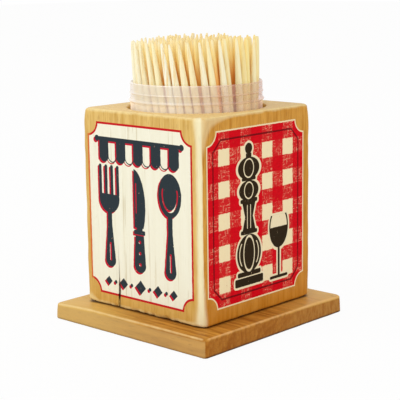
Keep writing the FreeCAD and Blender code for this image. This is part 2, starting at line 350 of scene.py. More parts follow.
class Timber:
    """The figure of solid timber: growth rings round a pith, fibres, pores and blotches.

    Along is the axis of the grain. Pith is where the tree's middle lies, in millimetres, as x,
    y and z, the one along the grain left out of use. Coarseness widens fibres and streaks.
    """

    def __init__(self, finish, along, pith, ring_width, seed, coarseness=1.0):
        def stretched(across, length, coarse=1.0):
            return [length if axis == along else across / coarse for axis in "xyz"]

        self.finish = finish
        bend = finish.noise(stretched(0.045, 0.006), 1.0, 0.5, seed) - 0.5
        wobble = finish.noise(stretched(0.22, 0.02), 2.0, 0.55, seed + 3) - 0.5
        places = zip("xyz", finish.millimetres(), pith)
        offsets = [place - middle for axis, place, middle in places if axis != along]
        radius = finish.length(*offsets) + bend * 26.0 + wobble * 2.6
        phase = finish.math("FRACT", radius / ring_width)
        self.late = finish.step(phase, 0.3, 0.88) * finish.fall(phase, 0.9, 1.0)
        self.fibre = finish.noise(stretched(2.6, 0.11, coarseness), 2.0, 0.6, seed + 5)
        self.streak = finish.noise(stretched(0.75, 0.02, coarseness), 2.0, 0.5, seed + 7)
        pores = finish.noise(stretched(3.4, 0.3), 0.0, 0.5, seed + 9)
        self.pore = finish.step(pores, 0.64, 0.74)
        self.blotch = finish.noise(stretched(0.07, 0.03), 2.0, 0.5, seed + 11)

    def colour(self, pale, deep, dark):
        """The wood's colour, from pale early wood to deep late wood, with dark pores."""
        figure = self.late * 0.35 + (self.streak - 0.5) * 1.5 + (self.blotch - 0.5) * 0.7
        figure = self.finish.step(figure + (self.fibre - 0.5) * 1.55, -0.55, 1.0)
        return self.finish.coats(pale, (figure, deep), (self.pore * 0.3, dark))

    def relief(self):
        """The height of the surface, lowest in the pores."""
        return self.fibre * 0.55 + self.late * 0.2 - self.pore * 0.7


plate_low, plate_high = (np.array(end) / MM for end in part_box("base_plate"))
plate_rings = board_rings(
    plate_low, plate_high, PLATE_CORNER, PLATE_ARRIS, wear=0.2, chips=0.15, seed=4, end_middle=True
)
for plate_ring in plate_rings:
    reach_left, reach_back = (
        np.clip((far - THIN_FROM) / (plate_high[0] - THIN_FROM), 0, 1)
        for far in (-plate_ring[:, 0], plate_ring[:, 1])
    )
    thinner = THIN_LEFT * reach_left**1.5 + THIN_BACK * reach_back**1.5
    plate_ring[:, 2] *= 1 - thinner / plate_high[2]
base_plate = skin("BasePlate", plate_rings)
countersink = [
    (SCREW_SINK, -1),
    (SCREW_SINK, 0.7),
    (SCREW_HOLE, SCREW_SINK_DEPTH),
    (SCREW_HOLE, plate_high[2] + 1),
]
for screw_side in (-1, 1):
    cut(base_plate, turned("plate_hole", countersink, 48, (screw_side * SCREW_APART / 2, 0)))
sharpen(base_plate, 35)

board = Finish("PlateWood")
x, y, z = board.millimetres()
grain = Timber(board, "x", pith=(0, 38, -34), ring_width=2.3, seed=1.0, coarseness=3.0)
# The top is paler towards its corners at left and right, and towards its left.
patchy = (grain.blotch - 0.5) * 20
corner_pale = board.step(abs(x + y) + patchy, 26, 56)
to_left = board.fall(x + patchy, -18, 22)
# The sides along the grain are painted paler than the top, as painted light, and the ends
# across it darker, as painted shade.
reach_left, reach_back = (
    board.most(far - THIN_FROM, 0.0) / (plate_high[0] - THIN_FROM) for far in (-x, y)
)
plate_top = plate_high[2] - reach_left * THIN_LEFT - reach_back * THIN_BACK
below_top = board.step(plate_top - z, 0.4, 1.0)
on_side = below_top * board.step(z, 0.0, 0.3)
end_side = board.step(abs(x) - abs(y), -0.3, 0.3)
mottle = board.step(board.noise((1.0, 1.7, 0.4), 3.0, 0.65, 14.0), 0.4, 0.65)
# Rubbed arrises show paler wood, partly a painted highlight along them.
rub = (board.noise((0.35, 0.35, 0.35), 3.0, 0.6) - 0.5) * 1.2
from_side = plate_high[0] - board.most(abs(x), abs(y))
from_corner = plate_high[0] - board.least(abs(x), abs(y))
from_arris = board.least(plate_top - z + from_side, z + from_side + 0.2, from_corner + 0.3)
wear_and_highlight = board.fall(from_arris + rub * 0.35, 0.15, 0.62)
# Painted shade in the seam round the block, and a painted shadow under the lower arris.
SEAM_CORNER = 3.0
seam_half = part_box("block")[1][0] / MM - SEAM_CORNER
from_block = board.length(*(board.most(abs(axis) - seam_half, 0.0) for axis in (x, y)))
seam_shade = board.fall(from_block + rub * 0.5, SEAM_CORNER - 0.3, SEAM_CORNER + 0.9)
seam_shade = seam_shade * (1 - below_top)
lower_arris_shadow = board.fall(z + board.least(from_side, 3.0) * 0.3 + rub * 0.3, 0.3, 0.9)
plate_shade = board.coats(
    grain.colour((210, 148, 60), (148, 86, 16), (98, 52, 12)),
    (corner_pale * 0.75, (238, 192, 104)),
    (to_left * 0.5, (218, 182, 98)),
    # painted light on the sides along the grain, painted shade on the ends
    ((1 - end_side) * on_side * 0.6, (204, 166, 104)),
    (end_side * on_side * (mottle * 0.25 + corner_pale * 0.15 + 0.5), (160, 94, 24)),
    (wear_and_highlight * 0.75, board.mix(end_side, (238, 208, 146), (240, 190, 122))),
    (seam_shade * 0.75, (92, 44, 12)),
    (lower_arris_shadow * (0.35 + end_side * 0.45), (60, 36, 24)),
)
board.surface(
    Base_Color=plate_shade,
    Roughness=grain.fibre * 0.2 + 0.4,
    Specular_IOR_Level=0.06,
    Coat_Weight=(0.14 - below_top * 0.09) * (1 - seam_shade),
    Coat_Roughness=0.25,
    Normal=board.bump(grain.relief(), 0.06),
)
board.cover(base_plate)
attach(base_plate, "base")
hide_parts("base_plate")


# Block.
# A square block of light hardwood, its grain upright, bored from above for the jar. It is satin
# varnished and printed straight on the wood: a cream label on the front and a checked panel on
# its right. Its edges are rubbed pale, partly with a painted highlight, and its foot is chipped,
# with a drying crack at the front.

BLOCK_CORNER = 1.7
BLOCK_ARRIS = 0.85
BORE_LIP = 0.4
BORE_DEPTH = 47.0
BORE_RADIUS = 20.3
PILOT_RADIUS = 1.52
PILOT_DEPTH = 8.3

block_low, block_high = (np.array(end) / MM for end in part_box("block"))
block_rings = board_rings(
    block_low, block_high, BLOCK_CORNER, BLOCK_ARRIS, wear=0.2, chips=1.3, seed=11, end_middle=False
)
block_shoulder = block_rings[-1]
bearing = np.arctan2(block_shoulder[:, 1], block_shoulder[:, 0])
bore_round = np.column_stack([np.cos(bearing), np.sin(bearing)])


def bore_ring(radius, height):
    return np.column_stack([bore_round * radius, np.full(len(bore_round), height)])


bore_mouth = bore_ring(BORE_RADIUS + BORE_LIP, block_high[2])
for share in (0.15, 0.4, 0.7, 1.0):
    block_rings.append(block_shoulder + (bore_mouth - block_shoulder) * share)
for degrees in (30, 60, 90):
    lip_in = BORE_LIP * math.sin(math.radians(degrees))
    lip_down = BORE_LIP * (1 - math.cos(math.radians(degrees)))
    block_rings.append(bore_ring(BORE_RADIUS + BORE_LIP - lip_in, block_high[2] - lip_down))
for depth in (3, 9, 18, 30, 42, 46.5, BORE_DEPTH):
    block_rings.append(bore_ring(BORE_RADIUS, block_high[2] - depth))
for radius in (18, 12, 6, 0.5):
    block_rings.append(bore_ring(radius, block_high[2] - BORE_DEPTH))
block = skin("Block", block_rings)

# Pilot holes for the screws, and the crack at the foot of the front.
for screw_side in (-1, 1):
    pilot = [(PILOT_RADIUS, block_low[2] - 1), (PILOT_RADIUS, block_low[2] + PILOT_DEPTH)]
    cut(block, turned("pilot", pilot, 24, (screw_side * SCREW_APART / 2, 0)))
CRACK = [  # height above the table, place from left to right, half width
    (4.5, -9.95, 0.30),
    (6.1, -9.87, 0.26),
    (7.5, -9.91, 0.17),
    (8.6, -9.8, 0.30),
    (9.5, -9.75, 0.28),
    (10.7, -9.69, 0.12),
    (13.5, -9.61, 0.07),
    (16.0, -9.5, 0.01),
]
CRACK_DEPTH = 2.2
CRACK_TOP = 16.5  # above it the crack is closed
CRACK_LINE = -9.45  # place from left to right
CRACK_FOOT = -9.8  # the same where it is open
crack_outline = [(middle - half, height) for height, middle, half in CRACK]
crack_outline += [(middle + half, height) for height, middle, half in reversed(CRACK)]
crack_ends = [
    np.array([(place, depth, height) for place, height in crack_outline])
    for depth in (block_low[1] - 0.5, block_low[1] + CRACK_DEPTH)
]
cut(block, skin("crack", crack_ends))
sharpen(block, 35)

wood = Finish("BlockWood")
x, y, z = wood.millimetres()
grain = Timber(wood, "z", pith=(-41, 52, 0), ring_width=2.6, seed=5.0)
# Painted light and shade: the right side takes a darker, shaded copy of the wood's colour and the
# top a paler, lit copy.
on_right = wood.step(x - abs(y), -0.4, 0.4)
on_top = wood.step(z, block_high[2] - 0.5, block_high[2] - 0.1)
# Darker towards the foot, partly a stain and partly painted shade.
foot = wood.fall(z + (grain.blotch - 0.5) * 14, 5, 52)

# Edges rubbed pale, most at the front corner; the pale bands along the arrises are partly a
# painted highlight.
rub = wood.noise((0.25, 0.25, 0.12), 3.0, 0.55) - 0.5
front_corner = wood.step(x - y, 36, 41)
above = z - block_low[2]
below = block_high[2] - z
near_end = wood.fall(wood.least(above, below), 0.5, 8)
near_foot = wood.fall(above, 2, 20)
from_side = block_high[0] - wood.most(abs(x), abs(y))
from_corner = block_high[0] - wood.least(abs(x), abs(y))
corner_reach = (1 - on_right) * front_corner * (near_end * 0.4 + near_foot * 0.5 + 2.3)
corner_reach = corner_reach + near_end + 0.8
corner_worn = wood.fall(from_corner + rub * 1.4, corner_reach * 0.2, corner_reach)
corner_worn = corner_worn * (1 - on_top * 0.9)
upper_wear_and_highlight = wood.fall(below + from_side + rub * 0.8, 0.3, 0.95) * 0.65
foot_reach = 1.4 - on_right * 0.9
foot_reach = foot_reach + wood.fall(from_corner, 1.5, 6) * (1 - on_right) * 1.8
lower_worn = wood.fall(above + from_side + rub * 1.8, foot_reach * 0.4, foot_reach)
wear_and_highlight = wood.most(corner_worn, upper_wear_and_highlight, lower_worn * 0.8)
bare_reach = 2.7 - on_right * (2.0 - near_foot) + near_end * 0.8
bare = wood.fall(from_corner + rub, bare_reach * 0.4, bare_reach)
bare = bare * front_corner * (0.85 - on_right * 0.35 - grain.streak * 0.4)
# The top of the front corner is sanded off in a flare that runs out along the right side.
from_front = y + block_high[0]
flare = wood.fall(from_front * below + rub * 8, 6, 15)
flare = flare * on_right * (1 - on_top) * wood.fall(from_front, 9, 20) * wood.fall(below, 7, 13)
# Painted shade in the seam where the block stands on the plate.
seam = wood.fall(above + rub * 0.9, 0.15, 0.55)
# Painted shade on the bore's wall of raw wood, darker deeper inside.
bore_shade = wood.fall(wood.length(x, y), BORE_RADIUS - 0.05, BORE_RADIUS + BORE_LIP)
bore_shade = bore_shade * wood.step(below, 0.5, 7)
bare_block = wood.coats(
    grain.colour((234, 198, 120), (204, 160, 78), (168, 116, 52)),
    (on_right, grain.colour((222, 164, 72), (190, 126, 34), (154, 92, 24))),
    (foot * 0.5, wood.mix(on_right, (210, 160, 68), (198, 120, 14))),
    (on_top, grain.colour((240, 210, 146), (226, 188, 118), (198, 150, 84))),
    (wear_and_highlight * (1.05 - grain.streak * 0.4), (246, 228, 170)),
    (bare, (250, 244, 210)),
    (flare * 0.7, (234, 206, 150)),
    (seam * 0.85, (74, 36, 14)),
    (bore_shade * 0.9, (104, 50, 16)),
)

# The prints are drawn from shapes given by their distance, in millimetres, from the outline,
# less than 0 inside.
both = wood.least  # shapes together
common = wood.most  # only what they have in common


def without(shape, hole):
    return common(shape, -hole)


def disc(place, middle, radius):
    return wood.vector("DISTANCE", place, (*middle, 0), output="Value") - radius


def bar(place, middle, half, rounding):
    """A bar with round ends or corners, its half sizes given to their centres."""
    offset = wood.vector("ABSOLUTE", wood.vector("SUBTRACT", place, (*middle, 0)))
    beyond = wood.vector("MAXIMUM", wood.vector("SUBTRACT", offset, (*half, 0)), (0, 0, 0))
    return wood.length(beyond) - rounding


def oval(place, middle, half):
    scale = (1 / half[0], 1 / half[1], 0)
    offset = (-middle[0] / half[0], -middle[1] / half[1], 0)
    return (wood.length(wood.vector("MULTIPLY_ADD", place, scale, offset)) - 1) * min(half)


def folded(place, middle):
    """Places with the left side turned over the right, for a shape alike on both sides."""
    across, up, _ = wood.split(wood.vector("SUBTRACT", place, (middle, 0, 0)))
    across = abs(across)
    return wood.joined(across, up), across, up


def panel(place, half, scoop):
    """A panel with a quarter circle scooped out of each corner."""
    beyond = wood.vector("SUBTRACT", wood.vector("ABSOLUTE", place), (*half, 0))
    across, up, _ = wood.split(beyond)
    return common(across, up, scoop - wood.length(beyond))


def ink(shape, softness=0.05):
    """1 inside a shape and 0 outside it."""
    return wood.fall(shape, -softness, softness)


def face(outwards):
    """1 on the side of the block that looks outwards this way."""
    return wood.step(outwards, block_high[0] - 0.7, block_high[0] - 0.4)


def covered(edge, on_face):
    """How much a print covers the wood, less where it is flecked and on the rubbed edges with their
    painted highlight.
    """
    return ink(edge) * on_face * (1 - fleck * 0.3) * (1 - wear_and_highlight * 0.8)


# Label: a scalloped awning over a fork, a knife and a spoon, with a row of lozenges below, in
# slate over a red shadow.
LABEL_MIDDLE = (-0.6, 34.5)
LABEL_HALF = (20.85, 25.45)
LABEL_SCOOP = 3.8
LABEL_BORDER = 0.66
SHADOW_OFFSET = (0.55, 0.5, 0)
AWNING_STRIPE = 3.5
AWNING_HEM = 15.8
AWNING_TOP = 20.2
LOZENGE_ROW = -21.3


def handle(across, up, top, bottom, narrow, wide):
    """A handle that widens downwards from its neck."""
    slope = (wide - narrow) / (top - bottom)
    return common(across - narrow + (up - top) * slope, up - top, bottom - up)


def grip(fold, across, up):
    """The handle of the fork and the spoon, and the line engraved in it."""
    end = (0, -14.9)
    shape = both(handle(across, up, -3.2, end[1], 0.8, 2.1), disc(fold, end, 2.1))
    return shape, bar(fold, (0, -12.4), (0, 2.4), 0.34)


def fork(place):
    fold, across, up = folded(place, -12.2)
    tines = both(*(bar(fold, (middle, 8.6), (0, 4.0), 0.58) for middle in (1.2, 3.6)))
    palm = without(oval(fold, (0, 3.4), (4.2, 4.3)), bar(fold, (0, 9.2), (8, 4.4), 0.2))
    neck = bar(fold, (0, -1.6), (0.4, 2.4), 0.5)
    hold, engraved = grip(fold, across, up)
    return without(both(tines, palm, neck, hold), engraved)


def spoon(place):
    fold, across, up = folded(place, 12.2)
    bowl = oval(fold, (0, 6.8), (4.4, 6.2))
    shine = common(abs(oval(fold, (0, 7.0), (2.9, 4.6))) - 0.2, up - 8.6)
    neck = bar(fold, (0, -1.0), (0.4, 3.0), 0.5)
    hold, engraved = grip(fold, across, up)
    return without(both(bowl, neck, hold), both(shine, engraved))


def knife(place):
    fold, across, up = folded(place, 0.0)
    blade = common(oval(place, (-2.4, 2.2), (4.9, 10.8)), bar(place, (1.2, 4.6), (2.9, 8.2), 0.3))
    blade = without(blade, bar(place, (-1.2, 4.6), (0, 4.2), 0.18))
    bolster = bar(fold, (0, -5.2), (1.9, 0.3), 0.35)
    hold = both(handle(across, up, -6.1, -14.6, 1.7, 2.3), disc(fold, (0, -14.7), 2.3))
    rivets = both(*(disc(fold, (0, height), 0.48) for height in (-8.0, -11.3, -14.6)))
    return both(blade, bar(fold, (0, -4.2), (0.9, 0.6), 0.3), bolster, without(hold, rivets))


def awning(place):
    fold, across, up = folded(place, 0.0)
    from_middle = wood.math("PINGPONG", across, AWNING_STRIPE / 2)
    scallop = wood.length(from_middle, wood.least(up - AWNING_HEM, 0.0)) - AWNING_STRIPE / 2
    cloth = common(scallop, up - AWNING_TOP, across - AWNING_STRIPE * 4.5)
    filled = wood.math("PINGPONG", across, AWNING_STRIPE) - AWNING_STRIPE / 2
    rail = both(bar(fold, (0, 20.6), (15.9, 0.2), 0.4), disc(fold, (16.9, 20.6), 0.9))
    return both(abs(cloth) - 0.17, common(cloth, filled), rail)


def lozenges(place):
    fold, across, up = folded(place, 0.0)
    row = (
        (abs(across - middle) + abs(up - LOZENGE_ROW) - half) * 0.7
        for middle, half in ((0, 2.1), (7.0, 1.7), (13.2, 1.4))
    )
    return both(*row, *(disc(fold, (middle, LOZENGE_ROW), 0.55) for middle in (3.7, 10.3)))


def label_drawing(place):
    return both(*(draw(place) for draw in (fork, knife, spoon, awning, lozenges)))


x_on_label = x - LABEL_MIDDLE[0]
# Ink bleeds a little along the grain, and is rubbed away in flecks.
bleed = (wood.noise((1.6, 1.6, 0.6), 2.0, 0.6, 20.0) - 0.5) * 0.28
fleck = wood.step(wood.noise((1.3, 1.3, 0.7), 3.0, 0.7, 44.0), 0.66, 0.74)
rubbed = 1 - fleck * 0.75
crackle = wood.step(wood.noise((1.1, 1.1, 0.035), 3.0, 0.65, 31.0), 0.6, 0.68)
label_place = wood.joined(x_on_label + bleed, z - LABEL_MIDDLE[1])
label_edge = panel(label_place, LABEL_HALF, LABEL_SCOOP)
slate = ink(label_drawing(label_place))
shadow = ink(label_drawing(wood.vector("ADD", label_place, SHADOW_OFFSET)))
# The border is paler down the outer side of the block.
border_red = wood.mix(wood.step(-x_on_label, 19.4, 20.2), (200, 30, 34), (216, 112, 58))
label = wood.coats(
    wood.mix(grain.streak, (250, 248, 230), (240, 236, 212)),
    (crackle * 0.45, (196, 178, 134)),
    (shadow * rubbed, (200, 24, 48)),
    (slate * rubbed, (46, 56, 62)),
    (ink(-label_edge - LABEL_BORDER) * (1 - fleck * 0.5), border_red),
)
on_front = face(-y)
label_share = covered(label_edge, on_front)

# Checked panel: cream checks on red, a thin dark line inside its edge, and a mill and a glass
# in near black with a cream edge.
CHECK_MIDDLE = (-0.83, 34.7)
CHECK_HALF = (21.08, 24.95)
CHECK_SCOOP = 3.8
CHECK_BORDER = 0.4
CHECK_PERIOD = (9.25, 8.97)
CHECK_WIDTH = 4.6
CHECK_FIRST = (-14.85, 16.3)  # the middle of one check, from front to back and up
CHECK_TOP = 56.5  # no half check above it
LINE_INSET = 2.6
LINE_CUT = 3.2
LINE_HALF = 0.25
HALO = 0.6
MILL_RINGS = [  # height, half sizes, rounding
    (-19.2, (5.6, 0.7), 0.5),
    (-17.0, (4.5, 0.2), 0.5),
    (-5.0, (3.1, 0.15), 0.45),
    (4.0, (3.2, 0.15), 0.45),
    (10.2, (2.6, 0.1), 0.4),
    (16.8, (0.9, 0.4), 0.3),
]
MILL_BULBS = [(-11.2, (5.2, 5.6)), (6.9, (4.2, 2.9)), (13.2, (4.6, 3.2))]
MILL_FLUTES = [(-11.2, (2.3, 5.0), 0.16), (6.9, (1.9, 2.3), 0.15), (13.2, (2.1, 2.6), 0.15)]


def mill(place, middle):
    fold, across, up = folded(place, middle)
    from_waist = abs(up + 0.6)
    body = both(
        *(bar(fold, (0, height), half, rounding) for height, half, rounding in MILL_RINGS),
        *(oval(fold, (0, height), half) for height, half in MILL_BULBS),
        common(across - 1.7 - from_waist * 0.28, from_waist - 4.2),
        disc(fold, (0, 18.8), 1.55),
    )
    flutes = both(
        *(abs(oval(fold, (0, height), half)) - width for height, half, width in MILL_FLUTES),
        common(abs(oval(fold, (0, -11.2), (4.1, 5.0))) - 0.16, abs(up + 11.2) - 3.2),
        common(abs(across - 0.7) - 0.13, from_waist - 3.4),
    )
    return body, without(body, flutes)


def glass(place, middle):
    fold, across, up = folded(place, middle)
    bowl = oval(fold, (0, -5.6), (4.3, 6.2))
    outline = both(
        bar(fold, (0, -20.4), (3.6, 0.0), 0.45),
        bar(fold, (0, -15.6), (0, 4.6), 0.45),
        common(bowl, up + 2.0),
    )
    clear = common(bowl + 0.55, up + 2.0, -(up + 5.6))
    return outline, without(outline, clear)


check_place = wood.joined(y - CHECK_MIDDLE[0], z - CHECK_MIDDLE[1] + bleed)
check_edge = panel(check_place, CHECK_HALF, CHECK_SCOOP)
warped = (wood.noise((0.9, 0.9, 0.9), 3.0, 0.65, 52.0) - 0.5) * 0.7
upright, level = (
    ink(wood.math("PINGPONG", axis + warped - first, period / 2) - CHECK_WIDTH / 2, 0.12)
    for axis, first, period in zip((y, z), CHECK_FIRST, CHECK_PERIOD)
)
level = level * wood.fall(z, CHECK_TOP, CHECK_TOP + 0.5)
scratch_up = wood.noise((1.0, 2.6, 0.5), 2.0, 0.75, 60.0)
scratch_along = wood.noise((1.0, 0.5, 2.8), 2.0, 0.75, 70.0)
scratch = wood.step(wood.most(scratch_up, scratch_along), 0.58, 0.66)
single = upright + level - upright * level * 2.0
pale = upright * level * (1 - fleck * 0.4) + single * (scratch * 0.36 + 0.02)

across, up, _ = wood.split(wood.vector("ABSOLUTE", check_place))
line_across, line_up = (half - LINE_INSET for half in CHECK_HALF)
line_corner = (across + up - line_across - line_up + LINE_CUT) * 0.7
line = abs(common(across - line_across, up - line_up, line_corner)) - LINE_HALF
mill_outline, mill_ink = mill(check_place, -3.6)
glass_outline, glass_ink = glass(check_place, 9.6)
check = wood.coats(
    wood.mix(scratch_along, (186, 0, 18), (236, 0, 24)),
    (pale, (248, 230, 186)),
    (ink(line) * (0.85 - fleck * 0.7), (92, 2, 10)),
    (ink(both(mill_outline, glass_outline) - HALO), (243, 228, 190)),
    (ink(both(mill_ink, glass_ink)) * rubbed, (44, 32, 14)),
    (ink(-check_edge - CHECK_BORDER), (243, 226, 184)),
)
check_share = covered(check_edge, face(x))

# The crack runs on above its open foot as a fine dark line.
crack_way = (wood.noise((0.0, 0.0, 0.35), 2.0, 0.6, 80.0) - 0.5) * 0.5
crack_way = (z - CRACK_TOP) * -0.02 + crack_way
crack_line = abs(x - CRACK_LINE - crack_way) - wood.step(z, 34, 8) * 0.14
crack_line = crack_line - wood.fall(abs(z - 11.5), 0.5, 3.5) * 0.35
crack_share = ink(crack_line, 0.09) * on_front * wood.fall(z, 17, 27) * 0.85
# Painted shade on the walls of the open crack.
crack_wall_shade = wood.fall(abs(x - CRACK_FOOT), 0.32, 0.5) * wood.fall(z, 9.5, CRACK_TOP)
crack_wall_shade = crack_wall_shade * wood.fall(abs(y - block_low[1] - CRACK_DEPTH / 2), 0.85, 1.05)

printed = wood.most(label_share, check_share)
block_height = grain.relief() * (1 - printed * 0.45) + printed * 0.25 - crack_share
wood.surface(
    Base_Color=wood.coats(
        bare_block,
        (label_share, label),
        (check_share, check),
        (crack_share, (70, 40, 22)),
        (crack_wall_shade, (58, 34, 18)),
    ),
    Roughness=grain.fibre * 0.2 + 0.45,
    Specular_IOR_Level=0.05,
    Coat_Weight=(1 - printed) * 0.16,
    Coat_Roughness=0.25,
    Normal=wood.bump(block_height, 0.06),
)
wood.cover(block)
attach(block, "base")
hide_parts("block")


# Screws.
# Two zinc-plated countersunk wood screws with cross recesses, driven up through the plate into
# the block, their heads sunk just inside the plate's underside.

SCREW_LENGTH = 12.0
SCREW_RADIUS = 1.5
SCREW_HEAD_RADIUS = 2.85
SCREW_HEAD_RIM = 0.4
SCREW_RECESS = 0.3
SCREW_SMOOTH = 3.4  # from the head's face to the first thread
THREAD_PITCH = 1.2
THREAD_DEPTH = 0.32
THREAD_START = 4.0
THREAD_TURNS = 5.0
THREAD_TAPER = 0.72  # how much of its radius is left at the screw's tip
SLOT_MOUTH = (1.75, 0.42)  # half its length and width
SLOT_BOTTOM = (0.75, 0.3)
SLOT_DEPTH = 1.25
SLOT_TURN = 20  # degrees

head_cone = SCREW_HEAD_RADIUS - SCREW_RADIUS
core = SCREW_RADIUS - THREAD_DEPTH
screw_profile = [
    (0.1, 0),
    (SCREW_HEAD_RADIUS - 0.12, 0),
    (SCREW_HEAD_RADIUS, 0.12),
    (SCREW_HEAD_RADIUS, SCREW_HEAD_RIM),
    (SCREW_RADIUS, SCREW_HEAD_RIM + head_cone),
    (SCREW_RADIUS, SCREW_SMOOTH),
    (core, SCREW_SMOOTH + 0.4),
    (core, SCREW_LENGTH - 3.0),
    (0.05, SCREW_LENGTH - 0.1),
]
screw_body = turned(
    "screw_body", [(radius, SCREW_RECESS + height) for radius, height in screw_profile], 32
)
# Cross recess: two tapered slots crossing at the middle of the head.
square = np.array([(-1, -1), (1, -1), (1, 1), (-1, 1)], float)
for degrees in (SLOT_TURN, SLOT_TURN + 90):
    slot_rings = [
        np.column_stack([square * half, np.full(4, SCREW_RECESS + depth)])
        for half, depth in ((SLOT_MOUTH, -0.3), (SLOT_MOUTH, 0.02), (SLOT_BOTTOM, SLOT_DEPTH))
    ]
    slot_cutter = skin("slot", slot_rings)
    slot_cutter.data.transform(Matrix.Rotation(math.radians(degrees), 4, "Z"))
    cut(screw_body, slot_cutter)
sharpen(screw_body, 30)


class Steps(Nodes):
    """A Geometry Nodes tree. Its named inputs are given as their kind and first value."""

    def __init__(self, name, **inputs):
        self.tree = bpy.data.node_groups.new(name, "GeometryNodeTree")
        self.sockets = {}
        for title, (kind, value) in inputs.items():
            socket = self.socket(title, "INPUT", kind)
            if value is not None:
                socket.default_value = value
            self.sockets[title] = socket
        self.socket("Geometry", "OUTPUT", "Geometry")
        outputs = self.tree.nodes.new("NodeGroupInput").outputs
        self.given = {title: Value(self, outputs[title]) for title in inputs}

    def socket(self, title, side, kind):
        """Adds a socket to the tree itself."""
        kind = "NodeSocket" + kind
        return self.tree.interface.new_socket(title, in_out=side, socket_type=kind)

    def end(self, geometry, material):
        """Realises the instances, sets the material and closes the tree."""
        geometry = self.node("GeometryNodeRealizeInstances", Geometry=geometry)
        geometry = self.node("GeometryNodeSetMaterial", Geometry=geometry, Material=material)
        outputs = self.tree.nodes.new("NodeGroupOutput")
        self.tree.links.new(geometry.socket, outputs.inputs["Geometry"])

    def run(self, name, mesh, **values):
        """A plain mesh object made by the tree from a mesh and values for its inputs."""
        piece = added(name, mesh)
        modifier = piece.modifiers.new(name, "NODES")
        modifier.node_group = self.tree
        for title, value in values.items():
            modifier[self.sockets[title].identifier] = value
        piece.update_tag()
        settle(piece)
        return piece


zinc = Finish("ScrewSteel")
x, y, z = zinc.millimetres()
dull = zinc.noise((0.6, 0.6, 0.6), 3.0, 0.6)
turning = zinc.noise((0.9, 0.9, 9.0), 2.0, 0.6, 3.0)
# Painted shade in the cross recess, darker deeper in.
deep = zinc.step(z, SCREW_RECESS + 0.25, SCREW_RECESS + 1.2)
zinc.surface(
    Base_Color=zinc.coats(
        zinc.mix(dull, (186, 186, 182), (214, 212, 205)), (deep * 0.55, (120, 116, 108))
    ),
    Metallic=1.0,
    Roughness=dull * 0.25 + 0.24,
    Normal=zinc.bump(turning, 0.02),
)

screw_steps = Steps(
    "Screws",
    Geometry=("Geometry", None),
    Body=("Object", None),
    Turns=("Float", THREAD_TURNS),
    Pitch=("Float", THREAD_PITCH * MM),
    Radius=("Float", SCREW_RADIUS * MM),
    Depth=("Float", THREAD_DEPTH * MM),
    Start=("Float", THREAD_START * MM),
)
given = screw_steps.given
root = given["Radius"] - given["Depth"]
helix = screw_steps.node(
    "GeometryNodeCurveSpiral",
    Resolution=28,
    Rotations=given["Turns"],
    Start_Radius=root,
    End_Radius=root * THREAD_TAPER,
    Height=given["Turns"] * given["Pitch"],
)
ridge = screw_steps.node("GeometryNodeCurvePrimitiveCircle", Resolution=4, Radius=given["Depth"])
thread = screw_steps.node(
    "GeometryNodeCurveToMesh", Curve=helix, Profile_Curve=ridge, Fill_Caps=True
)
lift = screw_steps.node("CombineXYZ", Z=given["Start"])
thread = screw_steps.node("GeometryNodeTransform", Geometry=thread, Translation=lift)
body = screw_steps.node("GeometryNodeObjectInfo", Object=given["Body"], output="Geometry")
whole = screw_steps.node("GeometryNodeJoinGeometry", Geometry=body)
screw_steps.tree.links.new(thread.socket, whole.socket.node.inputs["Geometry"])
screws = screw_steps.node(
    "GeometryNodeInstanceOnPoints", Points=given["Geometry"], Instance=whole
)
screw_steps.end(screws, zinc.material)

screw_places = bpy.data.meshes.new("screw_places")
screw_places.from_pydata([(side * SCREW_APART / 2 * MM, 0, 0) for side in (-1, 1)], [], [])
base_screws = screw_steps.run("BaseScrews", screw_places, Body=screw_body)
bpy.data.objects.remove(screw_body)
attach(base_screws, "base")
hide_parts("base_screws")


# Jar.
# Blow-moulded clear plastic jar, one wall with a foot pushed up inside, a bead and a small snap
# ridge below its rim. It stands loose in the bore and holds the toothpicks.

jar_low, jar_high = (np.array(end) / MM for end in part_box("jar"))
JAR_RADIUS = 19.3
JAR_WALL = 0.6
JAR_FLOOR = jar_low[2] + 2.0  # the upper face
JAR_PUSH_UP = 0.8
JAR_FOOT = [(1.9, 0.5), (1.5, 0.1), (1.0, 0.02), (0.4, 0.12), (0.1, 0.4), (0, 0.8)]  # in, up
JAR_RIM = [(0, 0.25), (0.08, 0.06), (0.22, 0)]  # in, down
JAR_INNER_RIM = [(0, 0.25), (0.06, 0.06), (0.22, 0)]
BEAD = jar_high[2] - 5.2
BEAD_SIZE = (0.7, 0.48)  # half its height, and how far it stands out
RIDGE = jar_high[2] - 3.0
RIDGE_SIZE = (0.35, 0.22)
RIGHTWARDS = (0.725, 0.688)  # a step from the left corner towards the right one


def swell(middle, half, out):
    """Steps of a small rounded ring round the jar."""
    return [
        (JAR_RADIUS + out * math.cos(angle) ** 2, middle + half * angle / (math.pi / 2))
        for angle in np.linspace(-math.pi / 2, math.pi / 2, 9)
    ]


jar_inside = JAR_RADIUS - JAR_WALL
jar_profile = (
    [(radius, jar_low[2] + JAR_PUSH_UP) for radius in (0.5, 8, 14, JAR_RADIUS - 2.4)]
    + [(JAR_RADIUS - inset, jar_low[2] + up) for inset, up in JAR_FOOT]
    + [(JAR_RADIUS, height) for height in (20, 30, 40, 50, 60, BEAD - 1.3)]
    + swell(BEAD, *BEAD_SIZE)
    + swell(RIDGE, *RIDGE_SIZE)
    + [(JAR_RADIUS - inset, jar_high[2] - down) for inset, down in JAR_RIM]
    + [(jar_inside + inset, jar_high[2] - down) for inset, down in reversed(JAR_INNER_RIM)]
    + [(jar_inside, height) for height in (68, 60, 50, 40, 30, 20, JAR_FLOOR + 0.6)]
    + [(jar_inside - 0.2, JAR_FLOOR + 0.15), (jar_inside - 0.6, JAR_FLOOR)]
    + [(radius, JAR_FLOOR) for radius in (12, 6, 0.5)]
)
jar = turned("Jar", jar_profile, 144)

